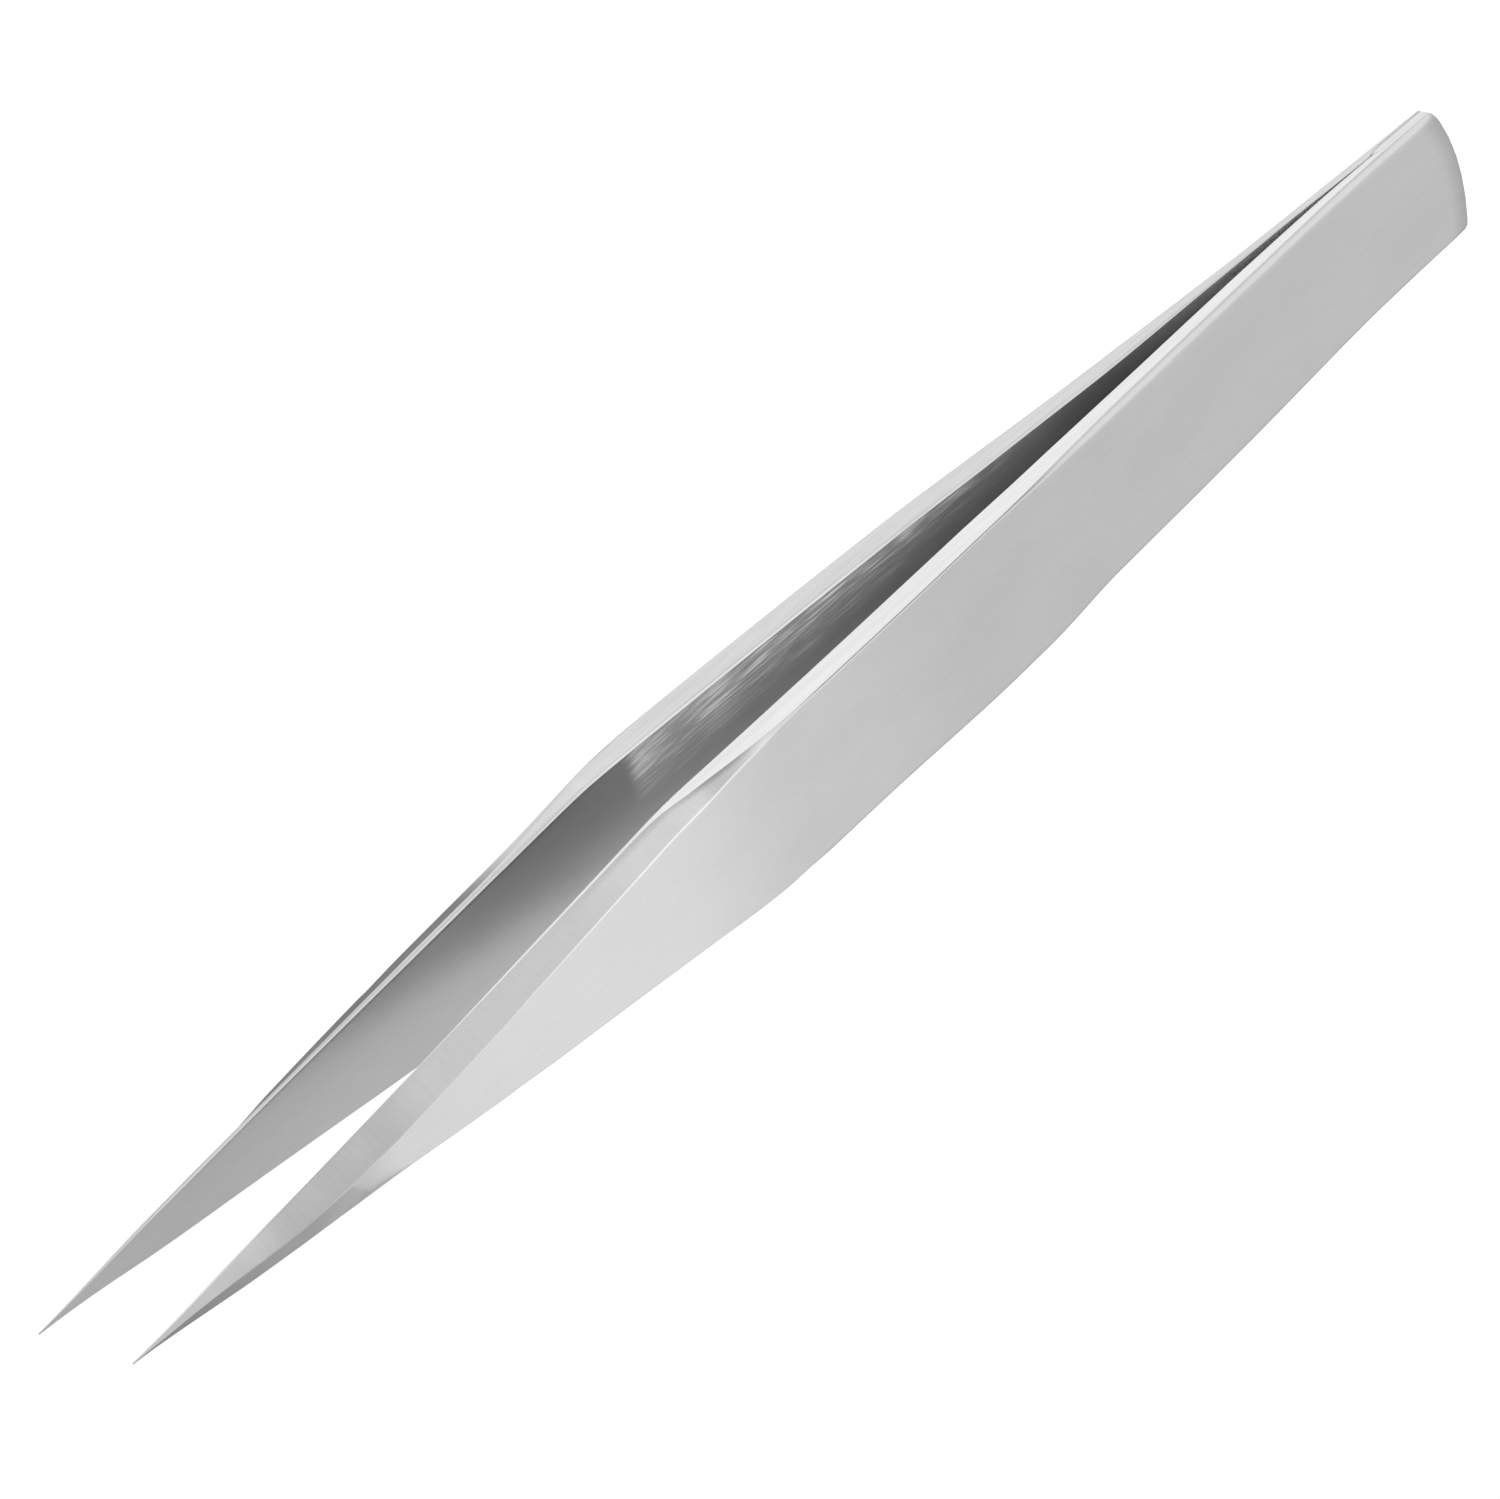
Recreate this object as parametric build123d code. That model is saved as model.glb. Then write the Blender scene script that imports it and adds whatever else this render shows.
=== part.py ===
from build123d import *
import os

# Straight fine-point precision tweezers: two stainless steel arms, welded flat to flat at the
# rear end and sprung apart from there to needle tips. Sizes are in millimetres.
#
# Everything is drawn with X running from the tips (0) to the rear end, Y across the gap between
# the arms (0 is the mid-plane) and Z over the width of the arms (0 is mid-width). The finished
# parts are then moved so that the origin lies on the lower edges, under the middle of the length.

# Driving dimensions
LENGTH = 125.0
GRIP_WIDTH = 9.4  # the straight stretch held by the fingers
SHANK_WIDTH = 9.0  # just behind the step down from the grip
REAR_WIDTH = 8.3
REAR_RADIUS = 10.0  # side-view arc of the rear end
REAR_THICKNESS = 0.75
TIP_WIDTH = 0.24
TIP_THICKNESS = 0.18

# Distances from the tips
CORNER_AT = 48.0  # the grip ends here and the taper to the tips starts
GRIP_END_AT = 76.5
SHANK_AT = 84.0
HINGE_AT = 103.0  # middle of the stretch where each arm bends
CONTACT_AT = 116.5  # from here to the rear end the arms lie face to face
WELD_AT = 119.0

# One arm in plan: distance from the tips, half of the open gap, thickness of the steel
ARM_PLAN = (
    (0.0, 3.68, TIP_THICKNESS),
    (18.0, 3.66, 1.78),
    (37.0, 3.26, 2.02),
    (56.0, 2.71, 1.95),
    (76.0, 1.81, 1.84),
    (96.0, 0.72, 1.48),
    (CONTACT_AT, 0.0, 0.95),
)

# Bevels ground along the outer edges of the points: distance from the tips, width of the strip
# left on the arm's edge, half-width of the flat left on its outer face
BEVELS = (
    (0.0, 0.12, 0.0),
    (13.0, 0.20, 0.0),  # in front of this the two bevels meet in a ridge
    (33.0, 0.32, 2.30),
    (CORNER_AT, 0.42, 4.00),
    (54.0, 0.42, 4.80),  # just above the arm's edge: the bevel has run out
)
CUTTER_REACH = 3.0  # how far the bevel cutter runs past the steel

# Rounding and weld
CORNER_ROUND = 40.0
WELD_DEPTH = 0.5
WELD_HALF_WIDTH = 0.3


def inner_curve():
    """Plan curve of the arm's inner face, from the tip to where the arms touch."""
    points = [(at, half_gap) for at, half_gap, thickness in ARM_PLAN]
    return Spline(*points, tangents=((1, 0), (1, 0)))


def outer_curve():
    """Plan curve of the arm's outer face, from the tip to the rear end."""
    points = [(at, half_gap + thickness) for at, half_gap, thickness in ARM_PLAN]
    return Spline(*points, (LENGTH, REAR_THICKNESS))


def curve_y(curve, at):
    """Y of a plan curve at a distance from the tips."""
    return curve.intersect(Line((at, -LENGTH), (at, LENGTH))).vertices()[0].Y


def arm_plan():
    """The arm on the +Y side, seen from above."""
    inner = inner_curve()
    outer = outer_curve()
    contact = Line(inner @ 1, (LENGTH, 0))
    rear = Line(contact @ 1, outer @ 1)
    tip = Line(outer @ 0, inner @ 0)
    return make_face([inner, contact, rear, outer, tip])


def rear_corner(half_width, rear_end):
    """Point where the arc of the rear end meets an edge at this half-width."""
    drop = REAR_RADIUS - (REAR_RADIUS**2 - half_width**2) ** 0.5
    return Vector(rear_end - drop, half_width)


def upper_edge():
    """Side view of the arm's upper edge, from the tip to the rear end, with its step."""
    tip = Vector(0, TIP_WIDTH / 2)
    corner = Vector(CORNER_AT, GRIP_WIDTH / 2)
    grip_end = Vector(GRIP_END_AT, GRIP_WIDTH / 2)
    shank = Vector(SHANK_AT, SHANK_WIDTH / 2)
    rear = rear_corner(REAR_WIDTH / 2, LENGTH)
    front = FilletPolyline(tip, corner, grip_end, radius=CORNER_ROUND)
    step = Spline(grip_end, shank, tangents=(grip_end - corner, rear - shank))
    return [*front.edges(), step, Line(shank, rear)]


def arm_side():
    """The arm seen from the side, standing in the XZ plane."""
    upper = upper_edge()
    lower = [edge.mirror(Plane.XZ) for edge in upper]
    half_tip = TIP_WIDTH / 2
    tip = Line((0, half_tip), (0, -half_tip))
    corner = rear_corner(REAR_WIDTH / 2, LENGTH)
    rear = ThreePointArc(corner, (LENGTH, 0), (corner.X, -corner.Y))
    return Plane.XZ * make_face([*upper, rear, *lower, tip])


def bevel_section(at, strip, flat_half_width):
    """Section of the upper bevel's cutter: all the space outside the line of the bevel."""
    taper_half_width = (TIP_WIDTH + (GRIP_WIDTH - TIP_WIDTH) * at / CORNER_AT) / 2
    upper = Vector(curve_y(inner_curve(), at) + strip, taper_half_width)
    lower = Vector(curve_y(outer_curve(), at), flat_half_width)
    reach = (lower - upper).normalized() * CUTTER_REACH
    start = upper - reach
    end = lower + reach
    far = GRIP_WIDTH
    section = Polyline(start, end, (far, end.Y), (far, far), (start.X, far), close=True)
    return Plane(origin=(at, 0, 0), x_dir=(0, 1, 0), z_dir=(1, 0, 0)) * make_face(section)


def bevel_cutter():
    """Solid that grinds the upper bevel, lofted from the tip to where the bevel runs out."""
    return loft([bevel_section(*station) for station in BEVELS], ruled=True)


def arm():
    """The whole arm on the +Y side, before the weld."""
    plan = Pos(0, 0, -GRIP_WIDTH) * arm_plan()
    blank = extrude(plan, 2 * GRIP_WIDTH) & extrude(arm_side(), GRIP_WIDTH, both=True)
    upper_cutter = bevel_cutter()
    return blank - upper_cutter - upper_cutter.mirror(Plane.XY)


def rear_outline(inset, front):
    """Side view of the rear end, from a distance from the tips back, drawn in by an inset."""
    corner = rear_corner(REAR_WIDTH / 2 - inset, LENGTH - inset)
    upper = Line((front, corner.Y), corner)
    rear = ThreePointArc(corner, (LENGTH - inset, 0), (corner.X, -corner.Y))
    lower = Line(rear @ 1, (front, -corner.Y))
    return make_face([upper, rear, lower, Line(lower @ 1, upper @ 0)])


def weld_space():
    """Space of the weld around the rear end: as deep as it goes on the mid-plane, nothing at
    its outer limits, and cut off square at the front."""
    inside = Plane.XZ * rear_outline(WELD_DEPTH, CONTACT_AT)
    outside = rear_outline(0, CONTACT_AT)
    core = loft([inside, Plane.XZ.offset(WELD_HALF_WIDTH) * outside], ruled=True)
    block = extrude(Plane.XZ * rear_outline(-WELD_DEPTH, WELD_AT), WELD_HALF_WIDTH, both=True)
    return block - core - core.mirror(Plane.XZ)


def place(shape):
    """Moves a finished part from the drawing's frame to the tweezers' own frame."""
    return Pos(-LENGTH / 2, 0, GRIP_WIDTH / 2) * shape


def main():
    """Builds both arms, the weld between them, and writes one STEP file for each part."""
    right_arm = arm()
    space = weld_space()
    both_arms = {"right": right_arm, "left": right_arm.mirror(Plane.XZ)}
    parts = {}
    hinge_plane = Plane(origin=(HINGE_AT, 0, 0), z_dir=(1, 0, 0))
    for side, whole in both_arms.items():
        parts[side + "_tail"] = split(whole, hinge_plane, keep=Keep.TOP) - space
        parts[side + "_blade"] = split(whole, hinge_plane, keep=Keep.BOTTOM)
    parts["rear_weld"] = space & (both_arms["right"] + both_arms["left"])
    os.makedirs("parts", exist_ok=True)
    for name, part in parts.items():
        export_step(place(part), f"parts/{name}.step")
    hinge_y = curve_y(inner_curve(), HINGE_AT)
    print(f"hinges at X {HINGE_AT - LENGTH / 2:.3f}, Y -/+{hinge_y:.4f} mm")


main()
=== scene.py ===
"""Looks of a pair of straight fine-point precision tweezers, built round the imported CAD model.

Two stainless steel arms, each one continuous ground and satin finished spring, and the weld that
joins them at the rear end. Lengths are in metres; X runs from the tips to the rear end, Y across
the gap between the arms and Z over their width. The arm on the +Y side is measured and modelled,
and the other is its mirror image, apart from a few differences left by grinding.
"""

import math

import bmesh
import bpy
import numpy as np
from mathutils import Matrix, Vector


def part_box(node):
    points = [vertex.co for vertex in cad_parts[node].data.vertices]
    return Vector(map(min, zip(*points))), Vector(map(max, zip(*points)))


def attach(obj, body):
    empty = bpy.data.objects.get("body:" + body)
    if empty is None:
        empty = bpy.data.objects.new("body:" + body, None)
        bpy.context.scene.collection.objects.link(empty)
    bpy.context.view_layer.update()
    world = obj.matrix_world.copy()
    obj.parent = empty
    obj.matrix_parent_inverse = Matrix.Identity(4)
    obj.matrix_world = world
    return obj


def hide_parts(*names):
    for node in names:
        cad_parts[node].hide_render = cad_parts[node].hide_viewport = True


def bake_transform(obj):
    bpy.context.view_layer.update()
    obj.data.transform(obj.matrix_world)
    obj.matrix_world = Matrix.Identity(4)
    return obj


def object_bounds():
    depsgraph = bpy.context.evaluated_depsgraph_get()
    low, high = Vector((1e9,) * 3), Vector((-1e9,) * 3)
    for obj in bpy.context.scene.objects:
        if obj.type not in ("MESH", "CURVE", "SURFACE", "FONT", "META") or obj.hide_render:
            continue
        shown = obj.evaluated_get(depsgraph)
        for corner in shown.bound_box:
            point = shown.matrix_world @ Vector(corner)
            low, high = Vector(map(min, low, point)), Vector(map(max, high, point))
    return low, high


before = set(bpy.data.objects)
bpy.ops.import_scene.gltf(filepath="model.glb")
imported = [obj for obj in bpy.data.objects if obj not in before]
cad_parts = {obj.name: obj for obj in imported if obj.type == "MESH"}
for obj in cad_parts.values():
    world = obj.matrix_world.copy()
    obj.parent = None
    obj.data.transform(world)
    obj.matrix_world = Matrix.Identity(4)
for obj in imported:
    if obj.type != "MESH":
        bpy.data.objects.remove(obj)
cad_low, cad_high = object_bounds()

MM = 0.001
HAIR = 0.015 * MM  # closer than this counts as the same place on the CAD meshes
RIGHT = 1  # an arm's side is the sign of its Y
LEFT = -1

# The frame the arms are built in
TIP_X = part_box("right_blade")[0].x
REAR_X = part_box("right_tail")[1].x
LENGTH = REAR_X - TIP_X
MID_Z = (cad_low.z + cad_high.z) / 2
HALF_WIDTH = (cad_high.z - cad_low.z) / 2
REST_ORIGIN = Vector((TIP_X, 0, MID_Z))  # the materials measure from here: tips and mid-width


def behind_tips(*distances):
    """X of the stations at these distances behind the tips, in mm."""
    return tuple(TIP_X + distance * MM for distance in distances)


# Weld
WELD_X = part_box("rear_weld")[0].x
WELD_HALF_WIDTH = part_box("rear_weld")[1].y
WELD_DEPTH = 0.5 * MM
WELD_GROWTH = 1.0 * MM  # its groove and bead reach their full depth within this
WELD_CROWN = 0.002 * MM  # the bead's sides lie this much below its crown
# The bead's section from its root round: share of its half-width, and height. Below 0 the height
# is a share of the weld's depth, and from 0 to 1 it goes from the bead's sides to its crown.
WELD_SECTION = ((0, -1), (0.9, -0.1), (1, 0), (0.5, 0.8), (0, 1), (-0.5, 0.8), (-1, 0), (-0.9, -0.1))

# Edges of the steel
EDGE_BREAK = 0.08 * MM  # the tiny facet along every ground edge
INNER_BREAK = 0.14 * MM  # the same along the inner edges
CLOSED_BREAK = 0.05 * MM  # and along them where the arms meet
FINE_BELOW = 1.5 * MM  # facets and roundings shrink where the arm's half-width is under this
FACET_LIMIT = 0.4  # a facet takes at most this share of the steel's thickness
ROUND_LIMIT = 0.45  # and a rounding at most this share of the faces beside it
CRISP_ROUND = 0.04 * MM

# Points: their bevels, the creases between bevels and outer face, and their needle ends
POINT_SHARE = 0.4  # size of the needle's very end, as a share of the CAD tip
POINT_LENGTH = 10 * MM
POINT_THINNING = 0.3 * MM  # the point's outer face is hollowed by this, at most
POINT_THINNED = 21 * MM  # within this of the tip
POINT_SAG = {RIGHT: 0.15 * MM, LEFT: 0.08 * MM}  # its lower edge lies this much further out
POINT_SAG_RANGE = behind_tips(4, 14, 26, 40)
RIDGE_EASE = 0.2 * MM  # how gently the crease bends into the ridge of the point and into the edge
CREASE_EASE_RANGE = behind_tips(25, 45)
CREASE_LINE = behind_tips(15, 32)  # the CAD's crease is straight between these
CREASE_LINE_END_X = TIP_X + 30 * MM  # and taken as straight in front of this
LAST_BEVEL_X = TIP_X + 51 * MM  # the CAD's bevel is measured up to here
LAST_BEVEL_RUN = 2 * MM
CREASE_DIP = {RIGHT: 0.0, LEFT: 0.28 * MM}  # the bevel is this much wider near its rear end
CREASE_DIP_RANGE = behind_tips(46, 51, 54, 59)
BEVEL_ENDS = {RIGHT: behind_tips(38, 56), LEFT: behind_tips(45, 58.6)}  # it runs out over this
POINT_CREASE_ROUND = 0.01 * MM  # the upper crease's rounding on the point
CREASE_ROUND = 0.08 * MM  # and at the bevel's rear end
CREASE_ROUND_RANGE = behind_tips(28, 48)
LOW_BEVEL_END = behind_tips(16.8, 18.4)  # the lower bevel reaches up to the ridge in front of this
LOW_CREASE_ROUND = 0.9 * MM  # and its crease is softest there
LOW_CREASE_RANGE = (LOW_BEVEL_END[0] - 4 * MM, *LOW_BEVEL_END, LOW_BEVEL_END[1] + 3 * MM)

# Grip: its outer face leans out towards its lower edge at its rear end
GRIP_BULGE = 0.4 * MM
GRIP_BULGE_RANGE = behind_tips(62, 76, 79, 87)

# Shank: its soft outer edges are rounded from facets
SHANK_GROWTH = 14 * MM  # they reach their full size within this behind the grip
SHANK_FACET_DOWN = 0.42 * MM  # how far the upper facet reaches down the outer face
SHANK_FACET_IN = {RIGHT: 0.25 * MM, LEFT: 0.32 * MM}  # and how far in across the upper edge
LOW_FACET_DOWN = 2 * EDGE_BREAK  # the same for the lower facet
LOW_FACET_IN = 0.10 * MM
SHANK_ROUND = 0.35 * MM
STRIP_ROUND_SHARE = 0.25  # the upper side of the facet takes this share of the rounding
SHANK_WIDENING = 0.12 * MM  # it is this much wider on each side than the CAD's
WIDENING_REACH = 8 * MM  # within this behind the grip
SHANK_SAG = 0.18 * MM  # the lower edge lies this much further out than the upper edge

# Seam: it is more open than in the CAD, and narrows again before the weld
GAP_EXTRA = {RIGHT: 0.35 * MM, LEFT: 0.0}  # how much further out the inner face stands
GAP_OPENING = behind_tips(92, 107)
GAP_CLOSING = (TIP_X + 109.5 * MM, WELD_X)
GAP_CLOSED_SHARE = 0.85  # how much of that it has lost where the weld starts

# Rear end
REAR_RISE = 0.10 * MM  # it sits this much above mid-width
REAR_RISE_RANGE = (REAR_X - 20 * MM, REAR_X - 8 * MM)
REAR_ROLL = 1.6 * MM  # the outer face rolls over towards the rear end within this
REAR_ROLL_DEPTH = 0.10 * MM
REAR_ARC_RANGE = (REAR_X - 8 * MM, REAR_X - REAR_ROLL)  # sections bend into the arc over this
LOW_ARC_SHARE = 0.8  # the arc falls back less below mid-width than above it
REAR_CORNER_ROUND = 0.2 * MM

# Measuring the CAD
SMOOTH_SPACING = 6 * MM  # between measures of an arm's smooth plan curves
SHARP_SPACING = 1.5 * MM  # and of its edges and bevels, which change faster
GRIP_SEARCH_STEP = 0.25 * MM
GRIP_SLACK = 0.01 * MM  # the grip is where the arm is within this of its full half-width
TAPER_LINE = behind_tips(10, 40)  # the arm's edges are straight between these

# Mesh
STATION_STEP = 0.6 * MM
POINT_STATIONS = 8
POINT_STEP = 0.04 * MM  # the first stations are 0, 1, 4, 9 ... of these behind the tip
ROLL_STEPS = 12
ROLL_CROWDING = 1.6  # how much closer the stations lie towards the rear end
WELD_ARC_STEPS = 40
ROUND_STEPS = 3  # points on every rounded corner
FINISHES = ("outer", "edge", "bevel", "inner")  # in the order of the arms' material slots
# Where the points lie across a face, as shares of its width
WIDE = (0.0, 0.03, 0.2, 0.4, 0.6, 0.8, 0.97, 1.0)
NARROW = (0.0, 0.08, 0.5, 0.92, 1.0)
# The faces of an arm's section in order: their points and their finish
FACES = (
    (NARROW, "edge"),  # upper inner edge, or the side of the weld's groove
    (NARROW, "edge"),  # upper edge
    (NARROW, "bevel"),  # upper bevel
    (WIDE, "outer"),  # outer face
    (NARROW, "outer"),  # lower bevel
    (NARROW, "edge"),  # lower edge
    (NARROW, "edge"),  # lower inner edge
    (WIDE, "inner"),  # inner face
)

# Finishes. A stop is a position in mm behind the tips and the value there.
STEEL_TINT = (1.0, 1.0, 1.005)  # just on the cool side
LENGTHWISE = (0.5, 9.0, 9.0)  # scale of a noise along X, Y and Z, per mm
CROSSWISE = (7.0, 0.8, 0.8)
CLOUDS = (0.10, 0.3, 0.3)
BANDS = (0.03, 2.0, 2.0)
NOISE_RANGE = (0.3, 0.7)  # most of a noise lies between these
TONE_CHANGE = 0.01  # grain and clouds change the tone by this, up and down
ROUGH_CHANGE = 0.012
GRAIN_STRENGTH = 0.3
GRAIN_DETAIL = 3.0
CLOUD_DETAIL = 4.0
BAND_DETAIL = 2.0
MARK_DETAIL = 4.0

# Painted light and shade in the outer face's tone, which also covers the lower bevel: dark on the
# points, a painted reflection of the shade beneath them, then lighter in front than towards the rear
# end
OUTER_PAINTED_LIGHT_STOPS = (
    (4, 0.27), (13, 0.42), (17, 0.50), (21, 0.63), (34, 0.67), (43, 0.66), (58, 0.545), (75, 0.485)
)
OUTER_ROUGHNESS = 0.34
OUTER_GRAIN = 0.003 * MM  # depth of its scratches
OUTER_GLANCING = 0.5  # how much it still reflects at a glancing angle
REAR_RIM_PAINTED_SHADE = 0.10  # painted shade at the arc of the rear end, where the outer face rolls over
REAR_RIM_WIDTH = 1.8  # in mm, in from the arc
REAR_RIM_RUN = (LENGTH / MM - 10, LENGTH / MM - 6)  # where the rim starts, in mm behind the tips

EDGE_TONE = 0.49
EDGE_ROUGHNESS = 0.24
EDGE_GRAIN = 0.003 * MM
BAND_CHANGE = 0.012
RIGHT_EDGE_PAINTED_SHADE = 0.09  # painted shade: the right arm's edge is this much darker than the left arm's
BETWEEN_ARMS = (-0.5, 0.5)  # in mm, from the left arm to the right one
BREAK_PAINTED_HIGHLIGHT = 0.06  # painted highlight: the grip's edge facets are this much lighter than its edges
BREAK_DEPTHS = (0.01, 0.06)  # in mm below the upper edge
BREAK_STOPS = ((45, 0), (52, 1), (72, 1), (76, 0))

# Painted light and shade in the bevels' tone: it rises and falls along the arm to give the lighter
# and darker bands that the light puts on them
BEVEL_PAINTED_LIGHT_STOPS = (
    (6, 0.465), (9, 0.40), (13, 0.305), (16, 0.31), (19.5, 0.37), (25, 0.47), (38, 0.49), (44, 0.545),
    (48, 0.53), (51.5, 0.37), (53, 0.37), (55.5, 0.47), (58, 0.40), (61, 0.26), (80, 0.26), (87, 0.43)
)
BEVEL_ROUGHNESS = 0.30
BEVEL_GRAIN = 0.0005 * MM
BEVEL_GLANCING_STOPS = ((37, 0.20), (43, 0.8))
BEVEL_RIM_PAINTED_SHADE = 0.12  # painted shade along the upper edge, in the crease where the bevel meets it
BEVEL_RIM_DEPTHS = (0.03, 0.26)  # in mm below the upper edge
BEVEL_RIM_STOPS = ((36, 0), (46, 1), (52, 1), (58, 0))

# Painted light in the inner face's tone: lighter towards the rear end, standing in for light that
# hardly reaches into the narrow gap between the arms
INNER_PAINTED_LIGHT_STOPS = ((10, 0.39), (38, 0.43), (50, 0.425), (64, 0.40), (75, 0.41), (90, 0.51), (108, 0.8))
INNER_ROUGH_STOPS = ((40, 0.30), (54, 0.40))
INNER_GRAIN = 0.001 * MM
MARK_STOPS = ((50.8, 0), (52.2, 1), (72, 1), (95, 0))
MARK_HEIGHTS = ((-1.8, 0), (-0.6, 0.45), (0.7, 1.0))  # in mm above mid-width, at the tips
MARK_AREA_SLOPE = 0.05  # how steeply those heights rise along X
MARK_SLOPE = 0.035  # and the marks themselves
MARK_SCALE = (0.28, 0.3, 8.0)
MARK_RANGE = (0.42, 0.68)
AREA_PAINTED_LIGHT = 0.11  # painted light over the whole marked area
MARKS_PAINTED_LIGHT = 0.42  # and painted reflection on the grinding marks, on top of that
MARKS_ROUGHER = 0.20  # both are rougher by this

# Camera: the view of the photograph
VIEW_AZIMUTH = math.radians(-39.23)
VIEW_ELEVATION = math.radians(30.86)
VIEW_ROLL = math.radians(-18.21)
VIEW_DISTANCE = 5.0 * LENGTH
VIEW_SHIFT_RIGHT = 0.0257 * LENGTH
VIEW_SHIFT_UP = 0.0121 * LENGTH
LENS_MM = 258.56
CLIP_START = 0.01
CLIP_END = 20

# Studio: the tweezers are held above the floor, so that they hardly shade what they reflect
FLOOR_DROP = 0.4 * LENGTH
FLOOR_RADIUS = 4.0
FLOOR_SEGMENTS = 128
FLOOR_TONE = 0.85
FLOOR_ROUGHNESS = 0.9
ROOM_STRENGTH = 1.15
SOFTBOX_DISTANCE = 0.8
SOFTBOXES = {
    "softbox_behind": {"direction": (0.543, 0.665, 0.513), "size": 0.8, "power_per_area": 1.57},
    "softbox_in_front": {"direction": (0.543, -0.60, 0.58), "size": 0.6, "power_per_area": 1.8},
}

# ---------------------------------------------------------------- the arm's shape, from the CAD

def cad_edges(*nodes):
    """Both end points of every mesh edge of some CAD nodes."""
    starts = []
    ends = []
    for node in nodes:
        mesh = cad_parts[node].data
        points = np.array([vertex.co for vertex in mesh.vertices])
        pairs = np.array([edge.vertices for edge in mesh.edges])
        starts.append(points[pairs[:, 0]])
        ends.append(points[pairs[:, 1]])
    return np.vstack(starts), np.vstack(ends)


ARM_EDGES = cad_edges("right_blade", "right_tail")


def section_at(x):
    """Where the CAD arm's section has its corners at this X: Y of its inner face, of the outer
    side of its upper edge and of its outer face, and Z above mid-width of its upper edge and of
    the flat on its outer face."""
    start, end = ARM_EDGES
    crossing = (start[:, 0] - x) * (end[:, 0] - x) < 0
    start, end = start[crossing], end[crossing]
    share = ((x - start[:, 0]) / (end[:, 0] - start[:, 0]))[:, None]
    points = start + share * (end - start)
    y, z = points[:, 1], points[:, 2] - MID_Z
    top = z.max()
    outer = y.max()
    return {
        "inner_y": y.min(),
        "strip_y": y[z > top - HAIR].max(),
        "outer_y": outer,
        "edge_z": top,
        "flat_z": z[y > outer - HAIR].max(),
    }


def rear_corner():
    """The CAD arm's upper rear corner, where the arc of its rear end meets its upper edge."""
    near_end = REAR_X - 1 * MM
    points = [vertex.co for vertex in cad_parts["right_tail"].data.vertices]
    return max((point for point in points if point.x > near_end), key=lambda point: point.z)


REAR_CORNER = rear_corner()


def curve_through(at, values):
    """A smooth curve through measured values: cubic pieces whose slopes agree where they meet."""
    slopes = np.gradient(values, at)

    def curve(x):
        if x > at[-1]:
            return values[-1] + slopes[-1] * (x - at[-1])
        i = np.clip(np.searchsorted(at, x) - 1, 0, len(at) - 2)
        step = at[i + 1] - at[i]
        t = (x - at[i]) / step
        rising = t * t * (3 - 2 * t)
        from_start = t * (1 - t) ** 2 * step * slopes[i]
        from_end = t * t * (1 - t) * step * slopes[i + 1]
        return (1 - rising) * values[i] + rising * values[i + 1] + from_start - from_end

    return curve


def measured(name, spacing):
    """One measure of the CAD arm's section as a smooth curve over X, which goes on straight behind
    the rear corner."""
    first = TIP_X + HAIR
    last = REAR_CORNER.x - HAIR
    at = np.linspace(first, last, round((last - first) / spacing) + 1)
    return curve_through(at, np.array([section_at(x)[name] for x in at]))


inner_y = measured("inner_y", SMOOTH_SPACING)
strip_y = measured("strip_y", SHARP_SPACING)
outer_y = measured("outer_y", SMOOTH_SPACING)
edge_z = measured("edge_z", SHARP_SPACING)
flat_z = measured("flat_z", SHARP_SPACING)


def slope_between(curve, start, end):
    """Mean slope of a curve between two stations."""
    return (curve(end) - curve(start)) / (end - start)


ARC_DROP = REAR_X - REAR_CORNER.x
ARC_HALF_CHORD = REAR_CORNER.z - MID_Z
ARC_RADIUS = (ARC_DROP**2 + ARC_HALF_CHORD**2) / (2 * ARC_DROP)
SEARCHED_X = np.arange(TIP_X, REAR_X, GRIP_SEARCH_STEP)
GRIP_X = [x for x in SEARCHED_X if edge_z(x) > HALF_WIDTH - GRIP_SLACK]
GRIP_START_X, GRIP_END_X = GRIP_X[0], GRIP_X[-1]
SHANK_SAG_RANGE = (GRIP_END_X, GRIP_END_X + 3 * MM, REAR_X - 25 * MM, REAR_X - 10 * MM)
CREASE_SLOPE = slope_between(flat_z, *CREASE_LINE)
CREASE_START_X = CREASE_LINE[0] - flat_z(CREASE_LINE[0]) / CREASE_SLOPE
LAST_SLOPE = slope_between(flat_z, LAST_BEVEL_X - LAST_BEVEL_RUN, LAST_BEVEL_X)


def mix(first, second, share):
    """The value at a share of the way from the first to the second."""
    return first + (second - first) * share


def ramp(value, start, end):
    """0 before start and 1 after end, with a smooth change between them."""
    share = min(max((value - start) / (end - start), 0.0), 1.0)
    return share * share * (3 - 2 * share)


def hump(value, start, top_start, top_end, end):
    """0 outside start..end and 1 between top_start and top_end, smooth between them."""
    return ramp(value, start, top_start) * (1 - ramp(value, top_end, end))


def round_off(distance, reach):
    """How far a quarter-round has fallen, as a share, at this distance from where it ends."""
    if distance >= reach:
        return 0.0
    return 1 - math.sqrt(1 - (1 - distance / reach) ** 2)


def fineness(x):
    """Size of edge breaks and roundings as a share of their full size: less on the point."""
    return min(1.0, edge_z(x) / FINE_BELOW)


def shank_share(x):
    """0 on the point and grip, and 1 on the shank."""
    return ramp(x, GRIP_END_X, GRIP_END_X + SHANK_GROWTH)


def weld_share(x):
    """0 in front of the weld, and 1 where its groove has its full depth."""
    return ramp(x, WELD_X, WELD_X + WELD_GROWTH)


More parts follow.
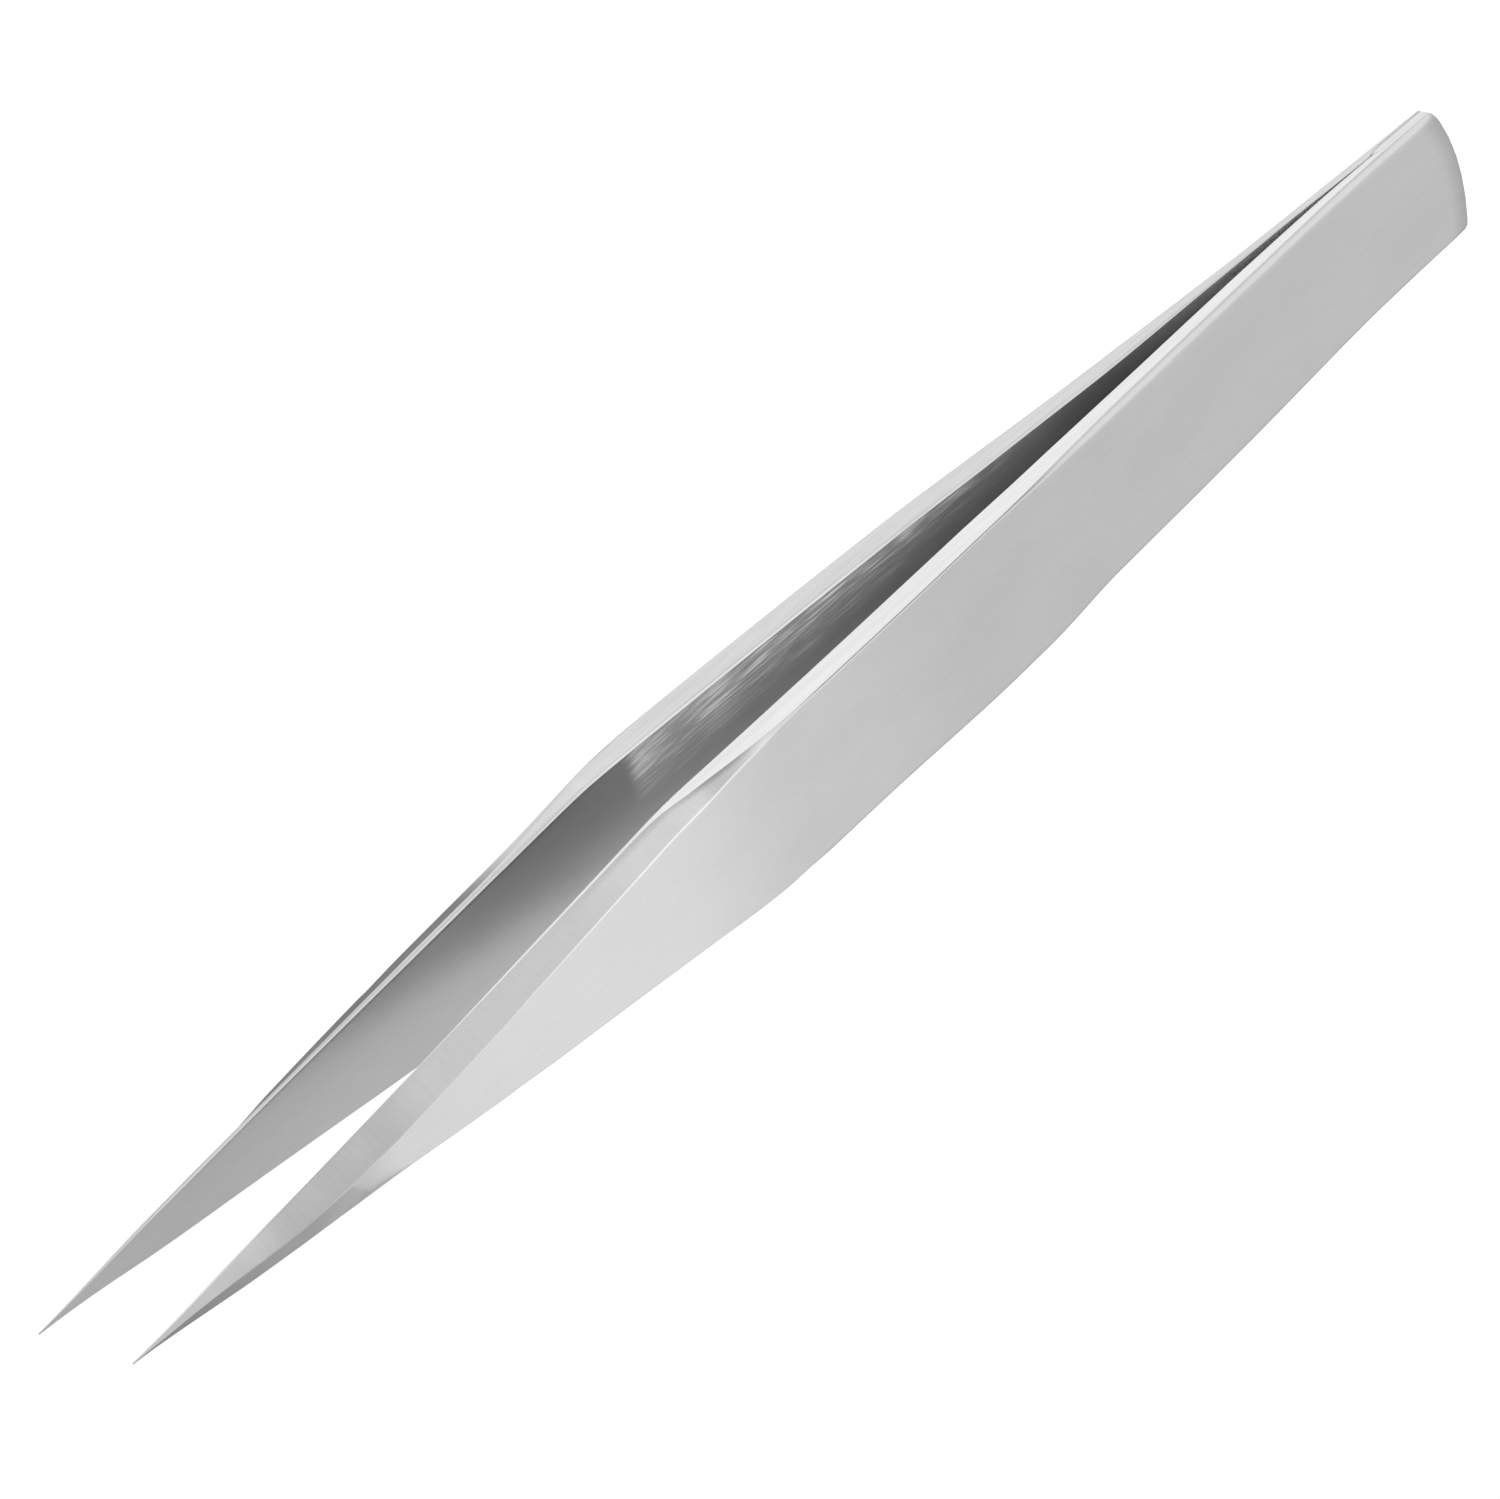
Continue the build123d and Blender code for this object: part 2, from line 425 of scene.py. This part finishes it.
def arc_drop(z):
    """How far the rear end's arc falls back at this height above mid-width."""
    drop = ARC_RADIUS - math.sqrt(ARC_RADIUS**2 - z * z)
    return drop if z > 0 else LOW_ARC_SHARE * drop


def seen_from_side(x, z):
    """Where a section's point ends up: its X, drawn forward to the arc of the rear end, and its Z
    above the CAD's mid-width."""
    z += REAR_RISE * ramp(x, *REAR_RISE_RANGE)
    return x - ramp(x, *REAR_ARC_RANGE) * arc_drop(z), z


# ---------------------------------------------------------------- section of one arm

def crease_z(x):
    """Z above mid-width of the crease between the upper bevel and the outer face: the CAD's
    straight crease, eased into the ridge of the point, and up to the edge where the bevel ends."""
    if x < CREASE_LINE_END_X:
        line = CREASE_SLOPE * (x - CREASE_START_X)
    else:
        line = flat_z(min(x, LAST_BEVEL_X)) + LAST_SLOPE * max(0.0, x - LAST_BEVEL_X)
    ridge = (line + math.hypot(line, 2 * RIDGE_EASE)) / 2
    edge = edge_z(x)
    ease = 2 * RIDGE_EASE * ramp(x, *CREASE_EASE_RANGE)
    return (ridge + edge - math.hypot(ridge - edge, ease)) / 2


def face_places(x, side):
    """Y of an arm's inner face and of its outer face."""
    to_end = REAR_X - x
    inner = max(inner_y(x), 0.0) + WELD_HALF_WIDTH * max(0.0, 1 - to_end / WELD_DEPTH)
    opening = ramp(x, *GAP_OPENING) * (1 - GAP_CLOSED_SHARE * ramp(x, *GAP_CLOSING))
    inner += GAP_EXTRA[side] * opening * (1 - weld_share(x))
    outer = outer_y(x) - REAR_ROLL_DEPTH * round_off(to_end, REAR_ROLL)
    outer -= POINT_THINNING * math.sin(math.pi * min(1.0, (x - TIP_X) / POINT_THINNED))
    return inner, outer


def edge_heights(x, side):
    """Z above mid-width of an arm's upper edge, and how much further out its lower edge lies."""
    top = edge_z(x) + SHANK_WIDENING * ramp(x, GRIP_END_X, GRIP_END_X + WIDENING_REACH)
    top = min(top, HALF_WIDTH) - REAR_CORNER_ROUND * round_off(REAR_X - x, REAR_CORNER_ROUND)
    sag = SHANK_SAG * hump(x, *SHANK_SAG_RANGE) + POINT_SAG[side] * hump(x, *POINT_SAG_RANGE)
    return top, min(sag, HALF_WIDTH - top)


def strip_place(x, side, inner, outer, shank_facet_in):
    """Y of the outer side of an arm's ground edge: as in the CAD along the bevel, and a facet's
    width from the outer face where the bevel has run out."""
    facet_in = mix(EDGE_BREAK * fineness(x), shank_facet_in, shank_share(x))
    full_strip = outer - min(facet_in, FACET_LIMIT * (outer - inner))
    on_bevel = min(x, GRIP_START_X)
    strip = min(strip_y(on_bevel) - inner_y(on_bevel) + inner, full_strip)
    return mix(strip, full_strip, ramp(x, *BEVEL_ENDS[side]))


def flat_heights(x, side, top):
    """Z of the outer face's two creases: the upper one above mid-width, the lower one below it."""
    facet_down = mix(EDGE_BREAK * fineness(x), SHANK_FACET_DOWN, shank_share(x))
    flat = min(crease_z(x), top - facet_down)
    flat = mix(flat, top - facet_down, ramp(x, *BEVEL_ENDS[side]) ** 2)
    flat -= CREASE_DIP[side] * hump(x, *CREASE_DIP_RANGE)
    cad_flat = min(crease_z(x), top - LOW_FACET_DOWN * fineness(x))
    return flat, mix(-flat, cad_flat, ramp(x, *LOW_BEVEL_END))


def groove(x, inner, top):
    """Both corners of the upper inner edge's facet, which becomes the side of the weld's groove."""
    facet = mix(INNER_BREAK, CLOSED_BREAK, ramp(x, *GAP_OPENING)) * fineness(x)
    depth = mix(facet, WELD_DEPTH, weld_share(x))
    width = facet + max(0.0, WELD_HALF_WIDTH - facet - inner) * weld_share(x)
    return [(inner, top - depth), (inner + width, top)]


def arm_corners(x, side):
    """An arm's section at a station: eight corners (Y, Z above mid-width), from the upper inner
    edge over the upper edge and the outer face to the lower inner edge."""
    inner, outer = face_places(x, side)
    top, sag = edge_heights(x, side)
    flat, low_flat = flat_heights(x, side, top)
    strip = strip_place(x, side, inner, outer, SHANK_FACET_IN[side])
    low_strip = strip_place(x, side, inner, outer, LOW_FACET_IN)
    bulge = GRIP_BULGE * hump(x, *GRIP_BULGE_RANGE)
    upper = groove(x, inner, top)
    outer_side = [(strip, top), (outer, flat)]
    outer_side += [(outer + bulge, -low_flat - sag), (low_strip + bulge, -top - sag)]
    lower = [(y, -z - sag) for y, z in reversed(upper)]
    middle = (inner + outer) / 2
    size = 1 - (1 - POINT_SHARE) * max(0.0, 1 - (x - TIP_X) / POINT_LENGTH) ** 2
    return [(middle + (y - middle) * size, z * size) for y, z in (*upper, *outer_side, *lower)]


def arm_rounding(x):
    """How far each corner of an arm's section is rounded, in the order of arm_corners."""
    crisp = CRISP_ROUND * fineness(x)
    soft = SHANK_ROUND * shank_share(x)
    crease = POINT_CREASE_ROUND * fineness(x)
    crease += (CREASE_ROUND - POINT_CREASE_ROUND) * ramp(x, *CREASE_ROUND_RANGE)
    low_crease = crisp + LOW_CREASE_ROUND * hump(x, *LOW_CREASE_RANGE)
    strip = crisp + STRIP_ROUND_SHARE * soft
    return [crisp, crisp, strip, crease + soft, low_crease, crisp, crisp, crisp]


def ring_of(corners, rounding):
    """Points of a closed section: each corner rounded, and each face between two corners divided."""
    count = len(corners)
    corners = [Vector(corner) for corner in corners]
    entry = []
    leave = []
    for k, corner in enumerate(corners):
        before = corners[k - 1] - corner
        after = corners[(k + 1) % count] - corner
        reach = min(rounding[k], ROUND_LIMIT * before.length, ROUND_LIMIT * after.length)
        entry.append(corner + before.normalized() * reach)
        leave.append(corner + after.normalized() * reach)
    points = []
    for k, (shares, _) in enumerate(FACES):
        for step in range(ROUND_STEPS):
            t = step / ROUND_STEPS
            points.append((1 - t) ** 2 * entry[k] + 2 * t * (1 - t) * corners[k] + t * t * leave[k])
        for share in shares[:-1]:
            points.append(leave[k].lerp(entry[(k + 1) % count], share))
    return points


def ring_finishes():
    """The finish of the skin behind each point of an arm's section, as its material slot."""
    slots = []
    for shares, finish in FACES:
        slots += [FINISHES.index(finish)] * (ROUND_STEPS + len(shares) - 1)
    return slots


# ---------------------------------------------------------------- meshes

def stations():
    """X of every section, close together at the needle's end and where the rear end rolls over."""
    point = [TIP_X + step**2 * POINT_STEP for step in range(POINT_STATIONS)]
    straight = np.arange(point[-1] + STATION_STEP, REAR_X - REAR_ROLL, STATION_STEP)
    rolls = [(1 - step / ROLL_STEPS) ** ROLL_CROWDING for step in range(ROLL_STEPS + 1)]
    return [*point, *straight, *(REAR_X - REAR_ROLL * roll for roll in rolls)]


def new_skin():
    """An empty mesh under construction, whose points keep their rest position for the materials."""
    made = bmesh.new()
    made.verts.layers.float_vector.new("rest_mm")
    return made


def add_ring(made, places):
    """Adds a ring of points to a mesh."""
    rest = made.verts.layers.float_vector["rest_mm"]
    ring = []
    for place in places:
        vertex = made.verts.new(place)
        vertex[rest] = (place - REST_ORIGIN) / MM
        ring.append(vertex)
    return ring


def join_rings(made, rings, slots):
    """Skins a row of rings, with a material slot for each place round them."""
    count = len(slots)
    for front, back in zip(rings, rings[1:]):
        for k in range(count):
            following = (k + 1) % count
            face = made.faces.new((front[k], front[following], back[following], back[k]))
            face.material_index = slots[k]
            face.smooth = True


def close_ring(made, ring, slot):
    """Closes the end of a skin with triangles."""
    edges = [made.edges.get((ring[k - 1], ring[k])) for k in range(len(ring))]
    filled = bmesh.ops.triangle_fill(made, edges=edges, use_beauty=True)
    for face in filled["geom"]:
        if isinstance(face, bmesh.types.BMFace):
            face.material_index = slot
            face.smooth = True


def finished_mesh(made, name):
    """The finished mesh, with its faces turned outwards."""
    bmesh.ops.recalc_face_normals(made, faces=made.faces)
    mesh = bpy.data.meshes.new(name)
    made.to_mesh(mesh)
    made.free()
    return mesh


def arm_mesh(name, side):
    """One whole arm as a lofted mesh."""
    made = new_skin()
    rings = []
    for x in stations():
        places = []
        for y, z in ring_of(arm_corners(x, side), arm_rounding(x)):
            place_x, place_z = seen_from_side(x, z)
            places.append(Vector((place_x, side * y, MID_Z + place_z)))
        rings.append(add_ring(made, places))
    join_rings(made, rings, ring_finishes())
    for ring in (rings[0], rings[-1]):
        close_ring(made, ring, FINISHES.index("edge"))
    return finished_mesh(made, name)


def weld_path():
    """The groove's run round the rear end, from the weld's upper front end to its lower one: a
    point of the outline seen from the side, half-width of the groove and its depth."""
    runs = {1: [], -1: []}
    for x in stations():
        if x >= WELD_X - STATION_STEP:
            (_, bottom), (half_width, top) = arm_corners(x, RIGHT)[:2]
            for up, run in runs.items():
                run.append((Vector(seen_from_side(x, up * top)), half_width, top - bottom))
    arc_z = np.linspace(REAR_RISE + top, REAR_RISE - top, WELD_ARC_STEPS + 1)[1:-1]
    arc = [(Vector((REAR_X - arc_drop(z), z)), WELD_HALF_WIDTH, WELD_DEPTH) for z in arc_z]
    return [*runs[1], *arc, *reversed(runs[-1])]


def weld_mesh(name):
    """The weld: a bead that fills the groove round the rear end, ground flush with the arms."""
    path = weld_path()
    made = new_skin()
    rings = []
    for k, (point, half_width, depth) in enumerate(path):
        ahead = path[min(k + 1, len(path) - 1)][0] - path[max(k - 1, 0)][0]
        outward = Vector((-ahead.y, ahead.x)).normalized()
        places = []
        for across, height in WELD_SECTION:
            lift = height * depth if height < 0 else WELD_CROWN * (height - 1)
            place = point + outward * lift
            places.append(Vector((place.x, across * (half_width + CRISP_ROUND), MID_Z + place.y)))
        rings.append(add_ring(made, places))
    join_rings(made, rings, [0] * len(WELD_SECTION))
    made.faces.new(rings[0])
    made.faces.new(rings[-1])
    return finished_mesh(made, name)


# ---------------------------------------------------------------- materials

class Steel:
    """A steel material in the making. It keeps the steel's rest position in mm, and its tone and
    roughness so far, each a number or the socket of a node."""

    def __init__(self, name, tone_stops, rough_stops):
        self.material = bpy.data.materials.new(name)
        self.material.use_nodes = True
        self.tree = self.material.node_tree
        self.shader = self.tree.nodes["Principled BSDF"].inputs
        self.shader["Metallic"].default_value = 1.0
        self.shader["Base Color"].default_value = (*(tone_stops[0][1],) * 3, 1)
        self.shader["Roughness"].default_value = rough_stops[0][1]
        self.place = self.node("ShaderNodeAttribute", {}, attribute_name="rest_mm")["Vector"]
        self.x, self.y, self.z = self.node("ShaderNodeSeparateXYZ", {"Vector": self.place})
        self.tone = self.graded(self.x, tone_stops)
        self.rough = self.graded(self.x, rough_stops)

    def node(self, kind, inputs, **settings):
        """A new node, with its inputs set to values or linked to sockets; gives its outputs."""
        node = self.tree.nodes.new(kind)
        for setting, value in settings.items():
            setattr(node, setting, value)
        for key, value in inputs.items():
            if isinstance(value, bpy.types.NodeSocket):
                self.tree.links.new(value, node.inputs[key])
            else:
                node.inputs[key].default_value = value
        return node.outputs

    def maths(self, operation, first, second=0):
        """A sum, product or other operation on two values, each a socket or a number."""
        return self.node("ShaderNodeMath", {0: first, 1: second}, operation=operation)["Value"]

    def remap(self, value, low, high, start, end):
        """Maps start..end smoothly to low..high."""
        ends = {"From Min": start, "From Max": end, "To Min": low, "To Max": high}
        inputs = {"Value": value, **ends}
        return self.node("ShaderNodeMapRange", inputs, interpolation_type="SMOOTHSTEP")["Result"]

    def graded(self, position, stops):
        """A value that changes smoothly with a position, from stops of (position in mm, value)."""
        total = stops[0][1]
        for (start, low), (end, high) in zip(stops, stops[1:]):
            total = self.maths("ADD", total, self.remap(position, 0, high - low, start, end))
        return total

    def noise(self, place, scale, detail):
        """Noise over a position, with a scale per mm for each axis."""
        place = self.node("ShaderNodeMapping", {"Vector": place, "Scale": scale})["Vector"]
        inputs = {"Vector": place, "Scale": 1.0, "Detail": detail}
        return self.node("ShaderNodeTexNoise", inputs)["Fac"]

    def grey(self, value):
        """A value as a neutral colour, with the steel's tint."""
        channels = [self.maths("MULTIPLY", value, tint) for tint in STEEL_TINT]
        return self.node("ShaderNodeCombineColor", dict(enumerate(channels)))["Color"]

    def lighten(self, change):
        """Adds to the tone."""
        self.tone = self.maths("ADD", self.tone, change)

    def darken(self, change):
        """Takes from the tone."""
        self.tone = self.maths("SUBTRACT", self.tone, change)

    def roughen(self, change):
        """Adds to the roughness."""
        self.rough = self.maths("ADD", self.rough, change)

    def add_ground_grain(self, scale, depth):
        """Fine scratches with their relief, and cloudy tone, over the whole surface."""
        grain = self.noise(self.place, scale, GRAIN_DETAIL)
        for pattern in (grain, self.noise(self.place, CLOUDS, CLOUD_DETAIL)):
            self.lighten(self.remap(pattern, -TONE_CHANGE, TONE_CHANGE, *NOISE_RANGE))
            self.roughen(self.remap(pattern, -ROUGH_CHANGE, ROUGH_CHANGE, *NOISE_RANGE))
        relief = {"Height": grain, "Distance": depth, "Strength": GRAIN_STRENGTH}
        self.tree.links.new(self.node("ShaderNodeBump", relief)["Normal"], self.shader["Normal"])

    def below_edge(self):
        """How far below the arm's upper edge, or above its lower one, on taper and grip, in mm."""
        slope = slope_between(edge_z, *TAPER_LINE)
        at_tip = (edge_z(TAPER_LINE[0]) - slope * (TAPER_LINE[0] - TIP_X)) / MM
        taper = self.maths("ADD", self.maths("MULTIPLY", self.x, slope), at_tip)
        edge = self.maths("MINIMUM", taper, HALF_WIDTH / MM)
        return self.maths("SUBTRACT", edge, self.maths("ABSOLUTE", self.z))

    def finished(self):
        """The material, with its tone and roughness on the shader."""
        self.tree.links.new(self.grey(self.tone), self.shader["Base Color"])
        self.tree.links.new(self.rough, self.shader["Roughness"])
        return self.material


def outer_finish():
    """The outer face, with painted light and shade in its tone: dark on the points, lighter behind
    them than towards the rear end, and with painted shade at the rim of its rear end, where it rolls
    over.
    """
    steel = Steel("satin_outer_face", OUTER_PAINTED_LIGHT_STOPS, ((0, OUTER_ROUGHNESS),))
    steel.add_ground_grain(LENGTHWISE, OUTER_GRAIN)
    steel.shader["Specular Tint"].default_value = (*(OUTER_GLANCING,) * 3, 1)
    to_centre = ((TIP_X - REAR_X + ARC_RADIUS) / MM, 0, 0)
    centred = {0: steel.place, 1: (1, 0, 1), 2: to_centre}
    from_centre = steel.node("ShaderNodeVectorMath", centred, operation="MULTIPLY_ADD")["Vector"]
    radius = steel.node("ShaderNodeVectorMath", {0: from_centre}, operation="LENGTH")["Value"]
    arc = ARC_RADIUS / MM
    # Painted shade at the rim of the rear end's arc, where the outer face rolls over
    painted_rim_shade = steel.remap(radius, 0, REAR_RIM_PAINTED_SHADE, arc - REAR_RIM_WIDTH, arc)
    steel.darken(steel.maths("MULTIPLY", painted_rim_shade, steel.remap(steel.x, 0, 1, *REAR_RIM_RUN)))
    return steel.finished()


def edge_finish():
    """The ground edges: long bands of slightly different tone, painted shade that makes the right
    arm's edge darker than the left's, and a painted highlight on the grip's edge facets below its
    very rim."""
    steel = Steel("ground_edge", ((0, EDGE_TONE),), ((0, EDGE_ROUGHNESS),))
    steel.add_ground_grain(LENGTHWISE, EDGE_GRAIN)
    bands = steel.noise(steel.place, BANDS, BAND_DETAIL)
    steel.lighten(steel.remap(bands, -BAND_CHANGE, BAND_CHANGE, *NOISE_RANGE))
    # Painted shade on the right arm's edge
    steel.darken(steel.remap(steel.y, 0, RIGHT_EDGE_PAINTED_SHADE, *BETWEEN_ARMS))
    # Painted highlight on the grip's edge facets below the upper rim
    facet = steel.remap(steel.below_edge(), 0, BREAK_PAINTED_HIGHLIGHT, *BREAK_DEPTHS)
    steel.lighten(steel.maths("MULTIPLY", facet, steel.graded(steel.x, BREAK_STOPS)))
    return steel.finished()


def bevel_finish():
    """The bevels: ground across the arm, with painted light and shade in their tone along the arm and
    painted shade along their upper rim near their rear end, and behind the middle of the taper so
    much smoother that they stay bright at a glancing angle."""
    steel = Steel("ground_bevel", BEVEL_PAINTED_LIGHT_STOPS, ((0, BEVEL_ROUGHNESS),))
    steel.add_ground_grain(CROSSWISE, BEVEL_GRAIN)
    # Painted shade along the bevel's upper rim
    painted_rim_shade = steel.remap(steel.below_edge(), BEVEL_RIM_PAINTED_SHADE, 0, *BEVEL_RIM_DEPTHS)
    steel.darken(steel.maths("MULTIPLY", painted_rim_shade, steel.graded(steel.x, BEVEL_RIM_STOPS)))
    glancing = steel.grey(steel.graded(steel.x, BEVEL_GLANCING_STOPS))
    steel.tree.links.new(glancing, steel.shader["Specular Tint"])
    return steel.finished()


def inner_finish():
    """The inner face: smooth in front, and with coarse grinding marks over its upper part behind; its
    tone holds painted light towards the rear end, over the marked area and on the marks.
    """
    steel = Steel("ground_inner_face", INNER_PAINTED_LIGHT_STOPS, INNER_ROUGH_STOPS)
    steel.add_ground_grain(LENGTHWISE, INNER_GRAIN)
    height = steel.maths("SUBTRACT", steel.z, steel.maths("MULTIPLY", steel.x, MARK_SLOPE))
    along_marks = steel.node("ShaderNodeCombineXYZ", {"X": steel.x, "Z": height})["Vector"]
    marks = steel.noise(along_marks, MARK_SCALE, MARK_DETAIL)
    marks = steel.remap(marks, 0, 1, *MARK_RANGE)
    fall = steel.maths("MULTIPLY", steel.x, MARK_AREA_SLOPE - MARK_SLOPE)
    area = steel.graded(steel.maths("SUBTRACT", height, fall), MARK_HEIGHTS)
    area = steel.maths("MULTIPLY", area, steel.graded(steel.x, MARK_STOPS))
    marks = steel.maths("MULTIPLY", marks, area)
    # Painted light over the marked area and painted reflection on the grinding marks; both are also
    # made rougher
    for pattern, painted_light in ((area, AREA_PAINTED_LIGHT), (marks, MARKS_PAINTED_LIGHT)):
        steel.lighten(steel.maths("MULTIPLY", pattern, painted_light))
        steel.roughen(steel.maths("MULTIPLY", pattern, MARKS_ROUGHER))
    return steel.finished()


# ---------------------------------------------------------------- the pieces

def link(name, data):
    """A new object in the scene."""
    made = bpy.data.objects.new(name, data)
    bpy.context.scene.collection.objects.link(made)
    return made


def make_arm(side_name, side, materials):
    """One spring arm as a single lofted mesh with the four finishes, in place of the CAD's blade and
    tail.
    """
    name = f"{side_name}_spring_arm"
    arm = link(name, arm_mesh(name, side))
    for finish in FINISHES:
        arm.data.materials.append(materials[finish])
    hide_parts(f"{side_name}_tail", f"{side_name}_blade")
    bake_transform(arm)


def make_weld(material):
    """The weld bead round the rear end."""
    weld = link("rear_weld_bead", weld_mesh("rear_weld_bead"))
    weld.data.materials.append(material)
    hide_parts("rear_weld")
    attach(weld, "rear_end")


# ---------------------------------------------------------------- studio

def make_floor():
    """A plain pale floor under the tweezers."""
    mesh = bpy.data.meshes.new("floor")
    made = bmesh.new()
    bmesh.ops.create_circle(made, cap_ends=True, segments=FLOOR_SEGMENTS, radius=FLOOR_RADIUS)
    made.to_mesh(mesh)
    made.free()
    floor = link("floor", mesh)
    floor.location.z = cad_low.z - FLOOR_DROP
    material = bpy.data.materials.new("floor")
    material.use_nodes = True
    shader = material.node_tree.nodes["Principled BSDF"]
    shader.inputs["Base Color"].default_value = (FLOOR_TONE, FLOOR_TONE, FLOOR_TONE, 1)
    shader.inputs["Roughness"].default_value = FLOOR_ROUGHNESS
    shader.inputs["Specular IOR Level"].default_value = 0.0
    mesh.materials.append(material)


def make_camera():
    """The camera, at the photograph's viewing angle."""
    back = Vector((
        math.sin(VIEW_AZIMUTH) * math.cos(VIEW_ELEVATION),
        -math.cos(VIEW_AZIMUTH) * math.cos(VIEW_ELEVATION),
        math.sin(VIEW_ELEVATION),
    ))
    level = Vector((math.cos(VIEW_AZIMUTH), math.sin(VIEW_AZIMUTH), 0))
    upright = back.cross(level)
    right = math.cos(VIEW_ROLL) * level + math.sin(VIEW_ROLL) * upright
    up = back.cross(right)
    centre = (cad_low + cad_high) / 2
    place = centre + VIEW_DISTANCE * back - VIEW_SHIFT_RIGHT * right - VIEW_SHIFT_UP * up
    data = bpy.data.cameras.new("camera")
    data.lens = LENS_MM
    data.clip_start = CLIP_START
    data.clip_end = CLIP_END
    camera = link("camera", data)
    camera.matrix_world = Matrix.Translation(place) @ Matrix((right, up, back)).transposed().to_4x4()
    bpy.context.scene.camera = camera


def make_softbox(name, direction, size, power_per_area):
    """A square softbox that faces the tweezers from a direction."""
    place = SOFTBOX_DISTANCE * Vector(direction).normalized()
    data = bpy.data.lights.new(name, "AREA")
    data.shape = "SQUARE"
    data.size = size
    data.energy = power_per_area * size**2
    light = link(name, data)
    light.location = place
    light.rotation_mode = "QUATERNION"
    light.rotation_quaternion = (-place).to_track_quat("-Z", "Y")


def make_studio():
    """Soft light from a pale room and two softboxes, for a camera that clips at white."""
    world = bpy.data.worlds.new("studio")
    world.use_nodes = True
    background = world.node_tree.nodes["Background"]
    background.inputs["Color"].default_value = (1, 1, 1, 1)
    background.inputs["Strength"].default_value = ROOM_STRENGTH
    bpy.context.scene.world = world
    for name, softbox in SOFTBOXES.items():
        make_softbox(name, **softbox)
    bpy.context.scene.view_settings.view_transform = "Standard"


materials = {
    "outer": outer_finish(),
    "edge": edge_finish(),
    "bevel": bevel_finish(),
    "inner": inner_finish(),
}
make_arm("right", RIGHT, materials)
make_arm("left", LEFT, materials)
make_weld(materials["edge"])
make_floor()
make_camera()
make_studio()
